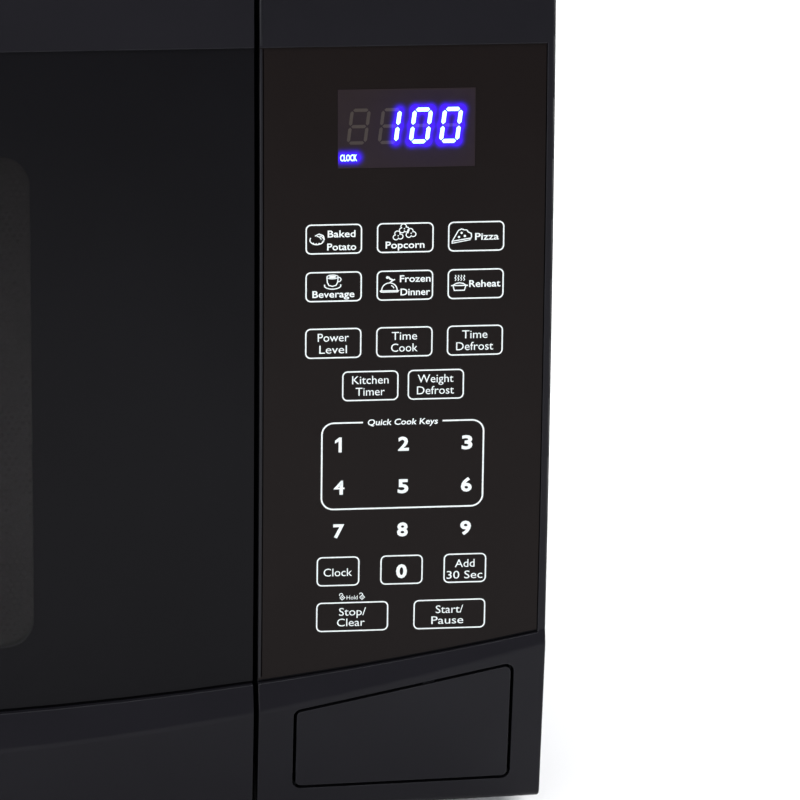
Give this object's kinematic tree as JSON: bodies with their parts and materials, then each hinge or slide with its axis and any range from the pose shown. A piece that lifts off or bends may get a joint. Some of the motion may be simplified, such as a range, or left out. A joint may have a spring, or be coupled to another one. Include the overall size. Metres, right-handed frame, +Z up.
{
  "type": "microwave oven",
  "caption": "Countertop microwave oven with a side-hinged glass door, push-button catch, key panel, lit display and driven glass turntable.",
  "frame": {"origin": "middle of the outline, on the surface that the feet stand on", "axes": "+X to the right seen from the front, +Y from the front to the back, +Z up"},
  "size_m": [0.483, 0.394, 0.281],
  "materials": {
    "moulded_black": "polished injection moulding, black",
    "key_overlay": "glossy brownish black film with pale printed keys",
    "door_glass": "black back-printed glass with a tinted window",
    "display_window": "dark smoked window",
    "led_display": "seven-segment light-emitting display",
    "membrane": "silver-printed polyester film",
    "screen_steel": "black enamelled steel, perforated behind the window",
    "inner_film": "clear polyester film",
    "choke_plastic": "dark grey moulding, fine texture",
    "latch_plastic": "natural acetal moulding",
    "spring_wire": "zinc-plated spring wire",
    "board_laminate": "glass-fibre laminate with parts soldered on",
    "small_transformer": "laminated core with taped winding",
    "switch_body": "black phenolic",
    "plated_steel": "zinc-plated sheet steel",
    "screw_steel": "zinc-plated screws, cross recess",
    "cavity_paint": "baked light enamel",
    "mica": "pressed mica sheet",
    "cover_paint": "black powder coat, fine texture",
    "foot_rubber": "moulded rubber",
    "motor_steel": "plated steel can",
    "shaft": "ground steel",
    "coupler_plastic": "heat-proof white moulding",
    "tray_glass": "clear pressed glass",
    "ferrite": "sintered ferrite",
    "fins": "thin rolled aluminium on a copper anode",
    "antenna": "plated cap over a ceramic collar",
    "filter_case": "plated steel box",
    "air_guide": "flame-proof moulding",
    "cutouts": "aluminium cap on a phenolic body",
    "core_steel": "varnished silicon-steel laminations",
    "coil_wire": "varnished copper wire",
    "capacitor_can": "drawn can",
    "diode": "epoxy body with tinned leads",
    "fan_plastic": "filled polypropylene",
    "lamp_glass": "clear glass bulb on a metal cap"
  },
  "bodies": {
    "casing": {"front_plate": "plated_steel", "cavity": "cavity_paint", "waveguide": "plated_steel", "waveguide_cover": "mica", "base_plate": "plated_steel", "outer_cover": "cover_paint", "rear_panel": "plated_steel", "cover_screws": "screw_steel", "cord_gland": "foot_rubber", "feet": "foot_rubber", "lower_hinge": "plated_steel", "upper_hinge": "plated_steel", "control_housing": "moulded_black", "control_overlay": "key_overlay", "display_window": "display_window", "key_membrane": "membrane", "led_display": "led_display", "control_board": "board_laminate", "board_transformer": "small_transformer", "latch_board": "latch_plastic", "door_switches": "switch_body", "turntable_motor": "motor_steel", "magnetron_yoke": "plated_steel", "magnetron_magnets": "ferrite", "magnetron_fins": "fins", "magnetron_antenna": "antenna", "magnetron_filter": "filter_case", "air_guide": "air_guide", "thermal_cutouts": "cutouts", "transformer_core": "core_steel", "transformer_coils": "coil_wire", "hv_capacitor": "capacitor_can", "capacitor_clamp": "plated_steel", "hv_diode": "diode", "fan_motor": "motor_steel", "fan_shroud": "air_guide", "oven_lamp": "lamp_glass", "lamp_socket": "switch_body", "filter_board": "board_laminate"},
    "door": {"door_frame": "moulded_black", "door_glass": "door_glass", "door_screen": "screen_steel", "door_inner_film": "inner_film", "choke_cover": "choke_plastic"},
    "latch": {"latch_hooks": "latch_plastic", "latch_spring": "spring_wire"},
    "open_button": {"release_button": "moulded_black", "button_spring": "spring_wire"},
    "release_lever": {"release_lever": "latch_plastic"},
    "hook_plungers": {"hook_plungers": "latch_plastic"},
    "monitor_plunger": {"monitor_plunger": "latch_plastic"},
    "turntable": {"turntable_shaft": "shaft", "turntable_coupler": "coupler_plastic"},
    "glass_tray": {"glass_tray": "tray_glass"},
    "roller_ring": {"roller_ring": "coupler_plastic"},
    "roller_1": {"roller_1": "coupler_plastic"},
    "roller_2": {"roller_2": "coupler_plastic"},
    "roller_3": {"roller_3": "coupler_plastic"},
    "fan": {"fan_shaft": "shaft", "fan_blade": "fan_plastic"}
  },
  "joints": [
    {"name": "door_hinge", "type": "hinge", "parent": "casing", "child": "door", "pos_m": [-0.2365, -0.175, 0.14], "axis": [0, 0, -1], "range_deg": [0, 100]},
    {"name": "button_pivot", "type": "hinge", "parent": "casing", "child": "open_button", "pos_m": [0.168, -0.18631, 0.03], "axis": [0, 0, 1], "range_deg": [0, 5.5], "stiffness_Nm_per_rad": 0.3, "springref_deg": -11.46},
    {"name": "lever_rock", "type": "hinge", "parent": "casing", "child": "release_lever", "pos_m": [0.16, -0.137, 0.034], "axis": [-1, 0, 0], "range_deg": [0, 12]},
    {"name": "latch_lift", "type": "slide", "parent": "door", "child": "latch", "axis": [0, 0, 1], "range_m": [0, 0.0043], "deforming": ["latch_spring"]},
    {"name": "hook_plungers_slide", "type": "slide", "parent": "casing", "child": "hook_plungers", "axis": [0, -1, 0], "range_m": [0, 0.00125]},
    {"name": "monitor_plunger_slide", "type": "slide", "parent": "casing", "child": "monitor_plunger", "axis": [0, 0, 1], "range_m": [0, 0.00125]},
    {"name": "turntable_spin", "type": "hinge", "parent": "casing", "child": "turntable", "pos_m": [-0.0464, 0.0064, 0.04], "axis": [0, 0, 1], "continuous": true},
    {"name": "tray_lift", "type": "slide", "parent": "turntable", "child": "glass_tray", "axis": [0, 0, 1], "range_m": [0, 0.025]},
    {"name": "ring_spin", "type": "hinge", "parent": "casing", "child": "roller_ring", "pos_m": [-0.0464, 0.0064, 0.039], "axis": [0, 0, 1], "continuous": true},
    {"name": "roller_1_spin", "type": "hinge", "parent": "roller_ring", "child": "roller_1", "pos_m": [0.0402, 0.0564, 0.039], "axis": [0.866, 0.5, 0], "continuous": true},
    {"name": "roller_2_spin", "type": "hinge", "parent": "roller_ring", "child": "roller_2", "pos_m": [-0.133, 0.0564, 0.039], "axis": [-0.866, 0.5, 0], "continuous": true},
    {"name": "roller_3_spin", "type": "hinge", "parent": "roller_ring", "child": "roller_3", "pos_m": [-0.0464, -0.0936, 0.039], "axis": [0, -1, 0], "continuous": true},
    {"name": "fan_spin", "type": "hinge", "parent": "casing", "child": "fan", "pos_m": [0.1832, 0.15, 0.19], "axis": [0, 1, 0], "continuous": true}
  ],
  "couplings": [
    {"joint": "lever_rock", "follows": "button_pivot", "ratio": 2.1},
    {"joint": "latch_lift", "follows": "button_pivot", "m_per_rad": 0.04375},
    {"joint": "hook_plungers_slide", "follows": "door_hinge", "m_per_rad": 0.0006875},
    {"joint": "monitor_plunger_slide", "follows": "door_hinge", "m_per_rad": 0.0006875},
    {"joint": "ring_spin", "follows": "turntable_spin", "ratio": 0.5},
    {"joint": "roller_1_spin", "follows": "turntable_spin", "ratio": -7.2464},
    {"joint": "roller_2_spin", "follows": "turntable_spin", "ratio": -7.2464},
    {"joint": "roller_3_spin", "follows": "turntable_spin", "ratio": -7.2464}
  ]
}
